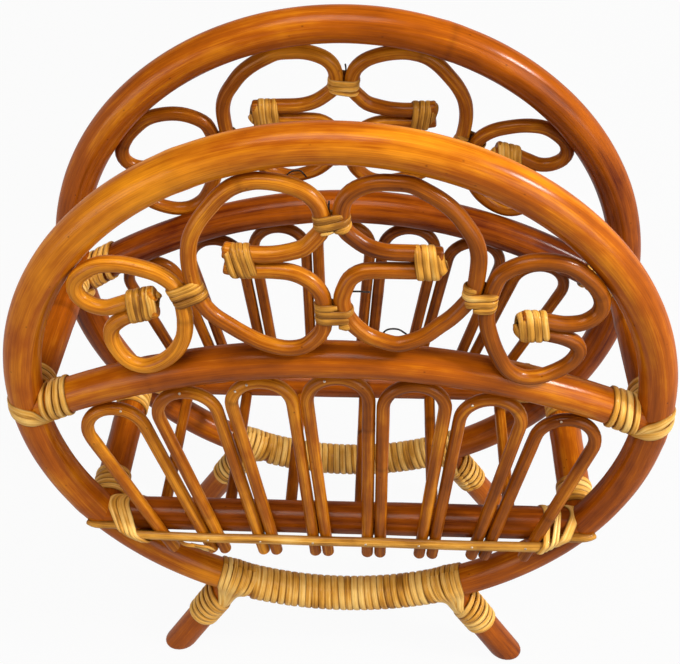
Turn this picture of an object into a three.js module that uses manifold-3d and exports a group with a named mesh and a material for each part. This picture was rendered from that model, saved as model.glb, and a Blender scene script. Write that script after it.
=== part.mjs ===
// A rattan magazine rack: two round hoop panels on short splayed legs, joined by
// rails and floor slats, filled with hairpin loops below an arched bar and with
// bound scrollwork above it. Millimetres, +Z up, origin on the floor under its middle.
// Each panel is drawn in its own frame: X to the right, Z up from the hoop's centre,
// and "out" is the distance from the hoop's plane towards the outside of the rack.

import * as THREE from "three";
import { mergeVertices } from "three/addons/utils/BufferGeometryUtils.js";
import Module from "manifold-3d";

const wasm = await Module();
wasm.setup();

// Driving sizes of the frame
const poleDiameter = 23;
const hoopRadius = 200;
const hoopAboveFloor = 64;
const panelSpacing = 135;
const seatGap = 0.3;
const saddleDepth = 5.5;

// Arched bar: where its ends meet the hoop, and how far its middle bows up and out
const archEndRise = 3;
const archBowUpShare = 0.27;
const archBowOut = 11;

// Lower rails, side rails and the connectors beside the arches
const railDropShare = 0.54;
const connectorRise = 3;

// Legs: where they meet the hoop, from straight down, and how they lean and splay
const legDiameter = 21.5;
const legAngle = THREE.MathUtils.degToRad(24);
const legLean = THREE.MathUtils.degToRad(31.6);
const legSplayOut = 5.5;

// Hairpin loops
const loopsPerPanel = 7;
const loopCane = 8.4;
const loopPitchShare = 0.28;
const loopWidthShare = 0.726;
const loopHeadShift = 1.5;
const loopHeadForward = 5.5;
const loopFootPitchShare = 0.2174;
const loopLegGap = 0.6;
const loopFootShift = 6.2;
const loopFootBelowRail = 15;

// Outer strip that holds the loops' feet against the rail
const stripHeight = 9;
const stripThickness = 3;
const stripReachPastHoop = 8;
const stripBendRun = 20;
const stripBendStart = 9;

// Scrollwork
const scrollCane = 9.6;
const bigReachShare = 0.398;
const bigTopShare = 0.18;
const bigFootShare = 0.14;
const smallTouchShare = 0.51;
const smallTopAtShare = 0.58;
const smallFootAtShare = 0.57;
const smallTopShare = 0.83;
const scrollTopOut = 4;
const scrollFootLeanShare = 0.55;

// Natural cane that binds and winds
const bindThickness = 1.1;
const bindEase = 0.6;
const bundleStripWidth = 4.6;
const bundleTurns = 4;
const bundleMiddleShare = 0.64;
const tieStripWidth = 3.4;
const tieTurns = 2;
const upperTieShare = 0.803;
const lowerTieShare = 0.23;
const sideTieShare = 0.376;
const bindTurnGap = 0.8;
const baseWindTurns = 20;
const baseWindClearOfLeg = 2;
const baseWindWidthShare = 0.9;

// Floor slats: places across the rack, as shares of the rail's half length
const slatDiameter = 8.4;
const slatDrop = 5;
const slatShares = [-0.81, -0.51, -0.23, 0.09, 0.42, 0.77];

// Facets
const poleSides = 12;
const caneSides = 8;
const hoopSteps = 44;
const archSteps = 14;
const loopArcSteps = 8;
const turnSteps = 12;
const weldTolerance = 1e-3;

// Worked out from the sizes above
const poleRadius = poleDiameter / 2;
const legRadius = legDiameter / 2;
const loopRadius = loopCane / 2;
const scrollRadius = scrollCane / 2;
const hoopCentreHeight = hoopRadius + hoopAboveFloor;
const archBowUp = hoopRadius * archBowUpShare;
const railDrop = hoopRadius * railDropShare;
const hoopSag = hoopRadius * (1 - Math.cos(Math.PI / hoopSteps));
const archHalfSpan = Math.sqrt(hoopRadius ** 2 - archEndRise ** 2) - poleRadius;
const railHalfSpan = Math.sqrt(hoopRadius ** 2 - railDrop ** 2);
const connectorPlace = Math.sqrt(hoopRadius ** 2 - connectorRise ** 2);
const loopPitchOnArch = archHalfSpan * loopPitchShare;
const loopWidth = loopPitchOnArch * loopWidthShare;
const loopFootPitch = railHalfSpan * loopFootPitchShare;
const loopFootWidth = loopFootPitch - loopCane - loopLegGap;
const bigScrollReach = hoopRadius * bigReachShare;
const canePass = poleRadius + scrollRadius + seatGap;
const sideBySide = scrollRadius + seatGap;

const poleFinish = { color: 0xb8651b, roughness: 0.32, metalness: 0 };
const caneFinish = { color: 0xa4591c, roughness: 0.38, metalness: 0 };
const naturalFinish = { color: 0xd9a550, roughness: 0.5, metalness: 0 };

// A path through listed stations: the extrusion puts one ring at each of them
class StationPath extends THREE.Curve {
  constructor(stations) {
    super();
    this.stations = stations;
  }
  indexAt(share) {
    return Math.round(share * (this.stations.length - 1));
  }
  getPointAt(share, target = new THREE.Vector3()) {
    return target.copy(this.stations[this.indexAt(share)]);
  }
  getTangentAt(share, target = new THREE.Vector3()) {
    const index = this.indexAt(share);
    const before = this.stations[Math.max(index - 1, 0)];
    const after = this.stations[Math.min(index + 1, this.stations.length - 1)];
    return target.copy(after).sub(before).normalize();
  }
}

function roundSection(radius, sides) {
  const corners = [];
  for (let i = 0; i < sides; i++) {
    const angle = (2 * Math.PI * i) / sides;
    corners.push(new THREE.Vector2(radius * Math.cos(angle), radius * Math.sin(angle)));
  }
  return new THREE.Shape(corners);
}

function tube(stations, radius, sides) {
  return new THREE.ExtrudeGeometry(roundSection(radius, sides), {
    steps: stations.length - 1,
    bevelEnabled: false,
    extrudePath: new StationPath(stations),
  });
}

// Panel coordinates: across, out from the hoop's plane, and up from the hoop's centre
function spot(across, out, up) {
  return new THREE.Vector3(across, -out, up);
}

// The same triangles with no shared corners
function loose(geometry) {
  return geometry.index ? geometry.toNonIndexed() : geometry.clone();
}

function solidOf(geometry) {
  const bare = new THREE.BufferGeometry();
  bare.setAttribute("position", loose(geometry).getAttribute("position"));
  const merged = mergeVertices(bare, weldTolerance);
  return new wasm.Manifold(
    new wasm.Mesh({
      numProp: 3,
      vertProperties: merged.attributes.position.array,
      triVerts: new Uint32Array(merged.index.array),
    }),
  );
}

function geometryOf(solid) {
  const mesh = solid.getMesh();
  const geometry = new THREE.BufferGeometry();
  geometry.setAttribute("position", new THREE.BufferAttribute(new Float32Array(mesh.vertProperties), 3));
  geometry.setIndex(new THREE.BufferAttribute(new Uint32Array(mesh.triVerts), 1));
  const faceted = geometry.toNonIndexed();
  faceted.computeVertexNormals();
  return faceted;
}

function cut(geometry, cutters) {
  let solid = solidOf(geometry);
  for (const cutter of cutters) {
    solid = solid.subtract(solidOf(cutter));
  }
  return geometryOf(solid);
}

function piece(name, geometry, finish) {
  const mesh = new THREE.Mesh(geometry, new THREE.MeshStandardMaterial(finish));
  mesh.name = name;
  return mesh;
}

// The hoop's middle line, by its angle from straight down
function onHoop(angleFromBottom) {
  return spot(hoopRadius * Math.sin(angleFromBottom), 0, -hoopRadius * Math.cos(angleFromBottom));
}

function hoopStations() {
  const halfJoint = seatGap / hoopRadius;
  const sweep = 2 * (Math.PI - halfJoint);
  const stations = [];
  for (let i = 0; i <= hoopSteps; i++) {
    stations.push(onHoop(halfJoint + (sweep * i) / hoopSteps));
  }
  return stations;
}

// What a pole that seats on the hoop is cut with: the hoop itself and its clearance.
// Its ends meet a little past the joint, so that the joint leaves no web.
function hoopCutter() {
  const stations = hoopStations();
  stations.push(onHoop(seatGap / hoopRadius + legAngle / hoopSteps));
  return tube(stations, poleRadius + seatGap, poleSides);
}

function archRise(across) {
  return archEndRise + archBowUp * (1 - (across / archHalfSpan) ** 2);
}

function archOut(across) {
  return archBowOut * (1 - (across / archHalfSpan) ** 2);
}

function archSlope(across) {
  return (-2 * archBowUp * across) / archHalfSpan ** 2;
}

function railCutter(across, up) {
  const reach = poleRadius;
  return tube(
    [spot(across, reach, up), spot(across, -panelSpacing / 2, up)],
    poleRadius + seatGap,
    poleSides,
  );
}

function archBar() {
  const reach = archHalfSpan + saddleDepth;
  const stations = [];
  for (let i = 0; i <= archSteps; i++) {
    const across = reach * ((2 * i) / archSteps - 1);
    stations.push(spot(across, archOut(across), archRise(across)));
  }
  const cutters = [hoopCutter()];
  for (const side of [-1, 1]) {
    cutters.push(railCutter(side * connectorPlace, connectorRise));
  }
  return cut(tube(stations, poleRadius, poleSides), cutters);
}

function lowerRail() {
  const reach = railHalfSpan - poleRadius + saddleDepth;
  const straight = tube([spot(-reach, 0, -railDrop), spot(reach, 0, -railDrop)], poleRadius, poleSides);
  const cutters = [hoopCutter()];
  for (const side of [-1, 1]) {
    cutters.push(railCutter(side * railHalfSpan, -railDrop));
  }
  return cut(straight, cutters);
}

// Where the loop's straight leg from its foot touches the arc at its head
function tangentAngle(middle, radius, foot, side) {
  const across = foot.x - middle.x;
  const up = foot.z - middle.z;
  const bearing = Math.atan2(up, across);
  return bearing + side * Math.acos(radius / Math.hypot(across, up));
}

function hairpinLoop(place) {
  const headRadius = loopWidth / 2;
  const contact = place * loopPitchOnArch + loopHeadShift;
  const slope = archSlope(contact);
  const steepness = Math.hypot(1, slope);
  const forward = (loopHeadForward * Math.abs(place)) / ((loopsPerPanel - 1) / 2);
  const below = Math.sqrt((poleRadius + loopRadius + seatGap) ** 2 - forward ** 2);
  const hang = headRadius + below;
  const headOut = archOut(contact) + forward;
  const footOut = poleRadius + loopRadius + seatGap;
  const middle = spot(contact + (hang * slope) / steepness, 0, archRise(contact) - hang / steepness);
  const footMiddle = place * loopFootPitch + loopFootShift;
  const footUp = -railDrop - loopFootBelowRail;
  const leftFoot = spot(footMiddle - loopFootWidth / 2, 0, footUp);
  const rightFoot = spot(footMiddle + loopFootWidth / 2, 0, footUp);
  const start = tangentAngle(middle, headRadius, leftFoot, -1) + 2 * Math.PI;
  const end = tangentAngle(middle, headRadius, rightFoot, 1);
  const heel = (foot, side) => {
    const touch = tangentAngle(middle, headRadius, foot, side);
    const kneeAcross = middle.x + headRadius * Math.cos(touch);
    const kneeUp = middle.z + headRadius * Math.sin(touch);
    const share = (-railDrop - foot.z) / (kneeUp - foot.z);
    return spot(foot.x + (kneeAcross - foot.x) * share, 0, -railDrop);
  };
  const flat = [leftFoot, heel(leftFoot, -1)];
  for (let i = 0; i <= loopArcSteps; i++) {
    const angle = start + ((end - start) * i) / loopArcSteps;
    flat.push(
      spot(middle.x + headRadius * Math.cos(angle), 0, middle.z + headRadius * Math.sin(angle)),
    );
  }
  flat.push(heel(rightFoot, 1), rightFoot);
  const headUp = middle.z + headRadius;
  const stations = flat.map((point) => {
    const fall = Math.min((headUp - point.z) / (headUp + railDrop), 1);
    return spot(point.x, headOut + (footOut - headOut) * fall, point.z);
  });
  return tube(stations, loopRadius, caneSides);
}

// How far out the strip's middle line lies: past the loops' feet, then back onto the hoop
function stripOut(across) {
  const overFeet = poleRadius + loopCane + stripThickness / 2 + 2 * seatGap;
  const overHoop = poleRadius + stripThickness / 2 + 2 * seatGap;
  const feetEnd = loopFootPitch * ((loopsPerPanel - 1) / 2) + loopFootWidth / 2 + loopFootShift;
  const bendStart = feetEnd + stripBendStart;
  const along = THREE.MathUtils.clamp((Math.abs(across) - bendStart) / stripBendRun, 0, 1);
  const eased = along * along * (3 - 2 * along);
  const pastHoop = Math.max(Math.abs(across) - railHalfSpan, 0);
  const fallBack = poleRadius - Math.sqrt(Math.max(poleRadius ** 2 - pastHoop ** 2, 0));
  return overFeet + (overHoop - overFeet) * eased - fallBack / 2;
}

function outerStrip() {
  const reach = railHalfSpan + stripReachPastHoop;
  const bendSteps = 7;
  const bend = 1 - (stripBendRun + stripBendStart + stripReachPastHoop * 2) / reach;
  const stations = [];
  for (let i = bendSteps; i >= 0; i--) {
    const across = -reach * (bend + ((1 - bend) * i) / bendSteps);
    stations.push(spot(across, stripOut(across), -railDrop));
  }
  for (let i = 0; i <= bendSteps; i++) {
    const across = reach * (bend + ((1 - bend) * i) / bendSteps);
    stations.push(spot(across, stripOut(across), -railDrop));
  }
  const rings = stations.map((station, index) => {
    const before = stations[Math.max(index - 1, 0)];
    const after = stations[Math.min(index + 1, stations.length - 1)];
    const along = new THREE.Vector3().subVectors(after, before).normalize();
    const up = new THREE.Vector3(0, 0, 1);
    const outward = new THREE.Vector3().crossVectors(along, up).normalize();
    return flatRing(station, outward, up, stripThickness, stripHeight);
  });
  return skin(rings);
}

// One four-cornered ring of a flat strip
function flatRing(middle, outward, sideways, thickness, width) {
  const ring = [];
  for (const [a, b] of [
    [1, 1],
    [1, -1],
    [-1, -1],
    [-1, 1],
  ]) {
    ring.push(
      middle
        .clone()
        .addScaledVector(outward, (a * thickness) / 2)
        .addScaledVector(sideways, (b * width) / 2),
    );
  }
  return ring;
}

// A closed skin over rings of equal count, capped at both ends and facing out
function skin(rings) {
  const positions = [];
  const put = (...points) => {
    for (const point of points) {
      positions.push(point.x, point.y, point.z);
    }
  };
  const count = rings[0].length;
  for (let i = 0; i + 1 < rings.length; i++) {
    for (let j = 0; j < count; j++) {
      const next = (j + 1) % count;
      put(rings[i][j], rings[i][next], rings[i + 1][next]);
      put(rings[i][j], rings[i + 1][next], rings[i + 1][j]);
    }
  }
  const first = rings[0];
  const last = rings[rings.length - 1];
  for (let j = 1; j + 1 < count; j++) {
    put(first[0], first[j + 1], first[j]);
    put(last[0], last[j], last[j + 1]);
  }
  let volume = 0;
  for (let i = 0; i < positions.length; i += 9) {
    const [a, b, c] = [0, 3, 6].map((k) => new THREE.Vector3().fromArray(positions, i + k));
    volume += a.dot(b.cross(c));
  }
  if (volume < 0) {
    for (let i = 0; i < positions.length; i += 9) {
      for (let k = 0; k < 3; k++) {
        const kept = positions[i + 3 + k];
        positions[i + 3 + k] = positions[i + 6 + k];
        positions[i + 6 + k] = kept;
      }
    }
  }
  const geometry = new THREE.BufferGeometry();
  geometry.setAttribute("position", new THREE.Float32BufferAttribute(positions, 3));
  geometry.computeVertexNormals();
  return geometry;
}

// A flat strip of cane wound round something: place(angle, share) gives the middle of
// the strip and the way out from what it goes round
function winding(name, turns, width, place) {
  const steps = turns * turnSteps;
  const spots = [];
  for (let i = 0; i <= steps; i++) {
    spots.push(place((2 * Math.PI * (i + 0.5)) / turnSteps, i / steps));
  }
  const rings = spots.map(({ middle, outward }, index) => {
    const before = spots[Math.max(index - 1, 0)].middle;
    const after = spots[Math.min(index + 1, steps)].middle;
    const along = new THREE.Vector3().subVectors(after, before).normalize();
    const sideways = new THREE.Vector3().crossVectors(along, outward).normalize();
    return flatRing(middle, outward, sideways, bindThickness, width);
  });
  console.log(`${name}: least gap between turns ${leastGap(rings).toFixed(2)} mm`);
  return skin(rings);
}

// The least distance between corner points of neighbouring turns
function leastGap(rings) {
  let least = Infinity;
  for (let i = 0; i + turnSteps < rings.length; i++) {
    for (let j = i + turnSteps - 1; j <= Math.min(i + turnSteps + 1, rings.length - 1); j++) {
      for (const a of rings[i]) {
        for (const b of rings[j]) {
          least = Math.min(least, a.distanceTo(b));
        }
      }
    }
  }
  return least;
}

// The winding that hides the hoop's joint, between the two legs
function baseWinding(name) {
  const halfAngle = legAngle - (legRadius + baseWindClearOfLeg) / hoopRadius;
  const facetShrink = Math.cos(Math.PI / turnSteps);
  const reach = (poleRadius + seatGap + hoopSag + bindThickness / 2) / facetShrink;
  const pitch = (2 * halfAngle * hoopRadius) / (baseWindTurns + 1);
  return winding(name, baseWindTurns, pitch * baseWindWidthShare * facetShrink, (angle, share) => {
    const bow = (halfAngle - pitch / hoopRadius / 2) * (2 * share - 1);
    const away = spot(Math.sin(bow), 0, -Math.cos(bow));
    const outward = away.clone().multiplyScalar(Math.cos(angle));
    outward.y = -Math.sin(angle);
    const middle = onHoop(bow).addScaledVector(outward, reach);
    return { middle, outward };
  });
}

// A binding round two canes that lie side by side, given their middles and their run
function binding(name, first, second, along, turns, width) {
  const facetShrink = Math.cos(Math.PI / turnSteps);
  const reach = (scrollRadius + bindEase + bindThickness / 2) / facetShrink;
  const pitch = width + bindTurnGap;
  const centre = first.clone().add(second).divideScalar(2);
  const spread = first.distanceTo(second);
  const across = new THREE.Vector3().subVectors(second, first).normalize();
  const depth = new THREE.Vector3().crossVectors(along, across).normalize();
  return winding(name, turns, width, (angle, share) => {
    const cosine = Math.cos(angle);
    const outward = across.clone().multiplyScalar(cosine).addScaledVector(depth, Math.sin(angle));
    const middle = centre
      .clone()
      .addScaledVector(along, turns * pitch * (share - 0.5))
      .addScaledVector(across, (Math.sign(cosine) * spread) / 2)
      .addScaledVector(outward, reach);
    return { middle, outward };
  });
}

// How far out from the hoop's plane the scrolls lie: near it at the top, and forward
// of the arched bar at the bottom, most in the middle where the bar bows out most
const scrollHighest = hoopRadius - canePass;
const scrollFootOut = archBowOut + scrollFootLeanShare * canePass;
const scrollLowest = archRise(0) + canePass;

function scrollOut(across, up) {
  const bow = 1 - (across / archHalfSpan) ** 2;
  const fall = (scrollHighest - up) / (scrollHighest - scrollLowest);
  return scrollTopOut + (scrollFootOut - scrollTopOut) * bow * fall;
}

// The height at which a scroll's cane touches the hoop from inside, at a distance
// from the middle of the rack; and also the distance for a height
function underHoop(across) {
  const clear = hoopRadius - hoopSag - Math.sqrt(canePass ** 2 - scrollTopOut ** 2);
  return Math.sqrt(clear ** 2 - across ** 2);
}

// The height at which a scroll's cane rests on the arched bar
function onArch(across) {
  let up = archRise(across) + canePass;
  for (let round = 0; round < 4; round++) {
    const forward = scrollOut(across, up) - archOut(across);
    const lift = Math.sqrt(canePass ** 2 - forward ** 2);
    up = archRise(across) + lift * Math.hypot(1, archSlope(across));
  }
  return up;
}

// A point of the surface in which the scrolls lie
function onScrollSurface(across, up) {
  return spot(across, scrollOut(across, up), up);
}

// The big scroll's line from one end in its bundle round to the other, as shares of
// its reach from the middle of the rack and of its height. In the bundle its two ends
// lie side by side: the last number says on which side of the bundle's middle line.
const bigScrollShares = [
  [0.76, 0.553, 1], [0.58, 0.553, 1], [0.42, 0.553, 1], [0.28, 0.622, 0], [0.13, 0.663, 0],
  [0.035, 0.705, 0], [0.002, 0.75, 0], [0, 0.803, 0], [0.002, 0.856, 0], [0.035, 0.905, 0],
  [0.15, 0.963, 0], [0.3, 0.992, 0], [0.45, 1, 0], [0.62, 0.96, 0], [0.77, 0.89, 0],
  [0.88, 0.79, 0], [0.96, 0.67, 0], [0.995, 0.55, 0], [1, 0.45, 0], [1, 0.325, 0],
  [0.955, 0.27, 0], [0.87, 0.22, 0], [0.74, 0.16, 0], [0.6, 0.1, 0], [0.47, 0.03, 0],
  [0.33, 0, 0], [0.2, 0.012, 0], [0.09, 0.06, 0], [0.018, 0.115, 0], [0, 0.165, 0],
  [0, 0.23, 0], [0, 0.295, 0], [0.035, 0.375, 0], [0.13, 0.45, 0], [0.27, 0.495, 0],
  [0.42, 0.553, -1], [0.58, 0.553, -1], [0.76, 0.553, -1],
];

// The small scroll's line in the same way, across from its inner edge
const smallScrollShares = [
  [0.17, 0.62], [0.33, 0.575], [0.51, 0.52], [0.69, 0.485], [0.85, 0.5], [0.96, 0.575],
  [1, 0.665], [0.94, 0.765], [0.84, 0.86], [0.69, 0.94], [0.52, 0.99], [0.36, 1.005],
  [0.19, 0.985], [0.06, 0.945], [0.004, 0.88], [0, 0.79], [0, 0.7], [0, 0.6], [0.004, 0.5],
  [0.055, 0.34], [0.13, 0.19], [0.25, 0.06], [0.4, 0], [0.56, 0.01], [0.7, 0.08], [0.78, 0.18],
  [0.75, 0.29], [0.64, 0.36], [0.48, 0.4], [0.33, 0.44], [0.16, 0.485],
];

const bigScrollLow = onArch(hoopRadius * bigFootShare);
const bigScrollHigh = underHoop(hoopRadius * bigTopShare);
const smallScrollLow = onArch(hoopRadius * smallFootAtShare);
const smallScrollHeadroom = underHoop(hoopRadius * smallTopAtShare) - smallScrollLow;
const smallScrollTop = smallScrollLow + smallScrollHeadroom * smallTopShare;
const smallScrollInner = bigScrollReach + 2 * sideBySide;
const smallScrollOuter = underHoop(hoopRadius * smallTouchShare);

function bigScrollUp(share) {
  return bigScrollLow + (bigScrollHigh - bigScrollLow) * share;
}

function bigScroll() {
  return tube(
    bigScrollShares.map(([across, up, side]) =>
      onScrollSurface(
        sideBySide + (bigScrollReach - sideBySide) * across,
        bigScrollUp(up) + side * sideBySide,
      ),
    ),
    scrollRadius,
    caneSides,
  );
}

function smallScroll() {
  return tube(
    smallScrollShares.map(([across, up]) =>
      onScrollSurface(
        smallScrollInner + (smallScrollOuter - smallScrollInner) * across,
        smallScrollLow + (smallScrollTop - smallScrollLow) * up,
      ),
    ),
    scrollRadius,
    caneSides,
  );
}

// The binding round a big scroll's two ends
function bundle(name) {
  const height = bigScrollUp(bigScrollShares[0][1]);
  const bundleMiddle = bigScrollReach * bundleMiddleShare;
  const before = onScrollSurface(bundleMiddle - bundleStripWidth, height);
  const after = onScrollSurface(bundleMiddle + bundleStripWidth, height);
  const upper = onScrollSurface(bundleMiddle, height + sideBySide);
  const lower = onScrollSurface(bundleMiddle, height - sideBySide);
  const along = after.sub(before).normalize();
  return binding(name, upper, lower, along, bundleTurns, bundleStripWidth);
}

// A short tie round two upright stretches of scroll
function tie(name, left, right, height) {
  const middle = (left + right) / 2;
  const below = onScrollSurface(middle, height - tieStripWidth);
  const above = onScrollSurface(middle, height + tieStripWidth);
  const along = above.sub(below).normalize();
  const first = onScrollSurface(left, height);
  return binding(name, first, onScrollSurface(right, height), along, tieTurns, tieStripWidth);
}

function mirrored(geometry) {
  const flipped = loose(geometry);
  const position = flipped.getAttribute("position");
  const corner = new THREE.Vector3();
  const turned = new Float32Array(position.count * 3);
  for (let i = 0; i < position.count; i += 3) {
    for (const [from, to] of [
      [0, 0],
      [1, 2],
      [2, 1],
    ]) {
      corner.fromBufferAttribute(position, i + from);
      corner.x = -corner.x;
      corner.toArray(turned, (i + to) * 3);
    }
  }
  const geometryOut = new THREE.BufferGeometry();
  geometryOut.setAttribute("position", new THREE.BufferAttribute(turned, 3));
  geometryOut.computeVertexNormals();
  return geometryOut;
}

// Both halves of a panel's scrollwork: the right one as drawn, the left one mirrored
function onBothSides(group, name, geometry, finish) {
  group.add(piece(`${name}_right`, geometry, finish));
  group.add(piece(`${name}_left`, mirrored(geometry), finish));
}

function leg(side) {
  const outwards = spot(side * Math.sin(legLean), 0, -Math.cos(legLean));
  const length = (hoopCentreHeight - hoopRadius * Math.cos(legAngle)) / Math.cos(legLean);
  const overrun = legDiameter;
  const top = onHoop(side * legAngle).addScaledVector(outwards, poleRadius - saddleDepth);
  const foot = onHoop(side * legAngle).addScaledVector(outwards, length);
  foot.y = -legSplayOut;
  const direction = new THREE.Vector3().subVectors(foot, top).normalize();
  const below = foot.clone().addScaledVector(direction, overrun);
  const groundDepth = overrun * 2;
  const groundWidth = legDiameter * 4;
  const ground = new THREE.BoxGeometry(groundWidth, groundWidth, groundDepth);
  ground.translate(foot.x, foot.y, -hoopCentreHeight - groundDepth / 2);
  return cut(tube([top, below], legRadius, poleSides), [hoopCutter(), ground]);
}

function panel(side) {
  const group = new THREE.Group();
  group.add(piece(`${side}_hoop`, tube(hoopStations(), poleRadius, poleSides), poleFinish));
  group.add(piece(`${side}_base_winding`, baseWinding(`${side}_base_winding`), naturalFinish));
  group.add(piece(`${side}_arch_bar`, archBar(), poleFinish));
  group.add(piece(`${side}_lower_rail`, lowerRail(), poleFinish));
  group.add(piece(`${side}_strip`, outerStrip(), naturalFinish));
  for (let i = 0; i < loopsPerPanel; i++) {
    const place = i - (loopsPerPanel - 1) / 2;
    group.add(piece(`${side}_loop_${i + 1}`, hairpinLoop(place), caneFinish));
  }
  onBothSides(group, `${side}_big_scroll`, bigScroll(), caneFinish);
  onBothSides(group, `${side}_small_scroll`, smallScroll(), caneFinish);
  onBothSides(group, `${side}_bundle`, bundle(`${side}_bundle`), naturalFinish);
  for (const [name, share] of [
    ["upper_tie", upperTieShare],
    ["lower_tie", lowerTieShare],
  ]) {
    const label = `${side}_${name}`;
    const knot = tie(label, -sideBySide, sideBySide, bigScrollUp(share));
    group.add(piece(label, knot, naturalFinish));
  }
  const sideTieHeight = bigScrollUp(sideTieShare);
  const sideTie = tie(`${side}_side_tie`, bigScrollReach, smallScrollInner, sideTieHeight);
  onBothSides(group, `${side}_side_tie`, sideTie, naturalFinish);
  group.add(piece(`${side}_leg_left`, leg(-1), poleFinish));
  group.add(piece(`${side}_leg_right`, leg(1), poleFinish));
  return group;
}

// A pole from one hoop's inner face to the other's, in the rack's own frame
function crossPole(across, height) {
  const reach = panelSpacing / 2 - poleRadius + saddleDepth;
  const pole = tube(
    [new THREE.Vector3(across, -reach, height), new THREE.Vector3(across, reach, height)],
    poleRadius,
    poleSides,
  );
  const cutters = [-1, 1].map((side) =>
    hoopCutter().translate(0, (side * panelSpacing) / 2, hoopCentreHeight),
  );
  return cut(pole, cutters);
}

function slat(across) {
  const reach = panelSpacing / 2 - poleRadius - seatGap;
  const height = hoopCentreHeight - railDrop - slatDrop;
  return tube(
    [new THREE.Vector3(across, -reach, height), new THREE.Vector3(across, reach, height)],
    slatDiameter / 2,
    caneSides,
  );
}

function rack() {
  const group = new THREE.Group();
  const front = panel("front");
  front.position.set(0, -panelSpacing / 2, hoopCentreHeight);
  const back = panel("back");
  back.position.set(0, panelSpacing / 2, hoopCentreHeight);
  back.rotation.z = Math.PI;
  group.add(front, back);
  for (const [name, side] of [
    ["left", -1],
    ["right", 1],
  ]) {
    const railHeight = hoopCentreHeight - railDrop;
    const connectorHeight = hoopCentreHeight + connectorRise;
    group.add(piece(`side_rail_${name}`, crossPole(side * railHalfSpan, railHeight), poleFinish));
    group.add(
      piece(`upper_connector_${name}`, crossPole(side * connectorPlace, connectorHeight), poleFinish),
    );
  }
  const slatReach = railHalfSpan - poleRadius;
  slatShares.forEach((share, index) => {
    group.add(piece(`floor_slat_${index + 1}`, slat(share * slatReach), caneFinish));
  });
  return group;
}

export default rack();
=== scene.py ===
"""Looks of a varnished rattan magazine rack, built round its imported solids.

Lengths are millimetres until a mesh is made, and metres for camera and lamps. A panel's
own coordinates are: across, out from the hoop's plane, and up from the hoop's centre.
"""

import math

import bpy
import numpy as np
from mathutils import Matrix


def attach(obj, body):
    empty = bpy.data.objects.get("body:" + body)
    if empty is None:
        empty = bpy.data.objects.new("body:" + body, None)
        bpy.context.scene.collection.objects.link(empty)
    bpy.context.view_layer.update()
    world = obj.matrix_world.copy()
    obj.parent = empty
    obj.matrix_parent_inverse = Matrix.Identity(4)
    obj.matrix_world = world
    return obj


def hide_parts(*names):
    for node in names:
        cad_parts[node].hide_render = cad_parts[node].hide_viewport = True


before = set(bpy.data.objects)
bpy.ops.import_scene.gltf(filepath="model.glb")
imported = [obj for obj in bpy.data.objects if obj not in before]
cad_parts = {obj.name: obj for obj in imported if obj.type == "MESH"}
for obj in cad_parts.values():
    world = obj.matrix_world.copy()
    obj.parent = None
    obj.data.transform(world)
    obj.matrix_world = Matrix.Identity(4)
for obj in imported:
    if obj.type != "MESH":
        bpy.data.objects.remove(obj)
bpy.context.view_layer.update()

METRE = 0.001
TAU = 2 * math.pi

# Sizes shared with the solids
POLE = 11.5
HOOP = 200.0
CENTRE = 264.0
HALF = 67.5
LEG = 10.75
LEG_ANGLE = math.radians(24)
LEG_LEAN = math.radians(31.6)
LEG_SPLAY = 5.5
ARCH_END = 3.0
ARCH_UP = 54.0
ARCH_OUT = 11.0
RAIL_UP = -108.0
CONNECTOR_UP = 3.0
LOOP = 4.2
SCROLL = 4.8
SLAT = 4.2
SLAT_UP = RAIL_UP - 5.0
STRIP_HIGH = 9.0
STRIP_THICK = 3.0
SEAT = 0.3
ARCH_SPAN = math.sqrt(HOOP**2 - ARCH_END**2) - POLE
RAIL_SPAN = math.sqrt(HOOP**2 - RAIL_UP**2)
CONNECTOR_AT = math.sqrt(HOOP**2 - CONNECTOR_UP**2)
LOOP_PITCH = 0.28 * ARCH_SPAN
LOOP_WIDTH = 0.726 * LOOP_PITCH
HEAD_SHIFT = 1.5
HEAD_FORWARD = 5.5
FOOT_PITCH = 0.2174 * RAIL_SPAN
FOOT_WIDTH = FOOT_PITCH - 2 * LOOP - 0.6
FOOT_SHIFT = 6.2
FOOT_DROP = 18.0

# The panels' planes, and the sides' signs
PLANE = {"front": -HALF, "back": HALF}
SIDES = (("left", -1), ("right", 1))

# Sizes of the windings and of the pieces' fit
WRAP_LIFT = 0.15
WRAP_THICK = 1.3
TIE_THICK = 0.95
BUNDLE_THICK = 1.1
LASHING_THICK = 1.2
RING_THICK = 1.35
BASE_TURNS = 27
LEG_CLEARANCE = 13.5
TUCK_RUN = 4.0
TUCK_WIDTH_SHARE = 0.55
TUCK_SINK_SHARE = 0.8
FIT_REACH_SHARE = 2.2
FIT_GAP = 0.05
NAIL_RADIUS = 0.9
WIRE_RADIUS = 0.55
LEG_EDGE = 4.0

# A growth ring: how much it swells and dips, as shares of the radius, and over what lengths
SWELL_SHARE = 0.03
SWELL_RUN = 5.0
DIP_SHARE = 0.025
DIP_RUN = 1.3
MARK_RUN = 1.6


# Lines and frames


def unit(v):
    v = np.asarray(v, float)
    return v / np.maximum(np.linalg.norm(v, axis=-1, keepdims=True), 1e-12)


def lengths(line):
    return np.concatenate([[0.0], np.cumsum(np.linalg.norm(np.diff(line, axis=0), axis=1))])


def evenly(line, step):
    s = lengths(line)
    count = max(3, int(round(s[-1] / step)) + 1)
    at = np.linspace(0, s[-1], count)
    return np.stack([np.interp(at, s, line[:, k]) for k in range(line.shape[1])], 1)


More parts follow.
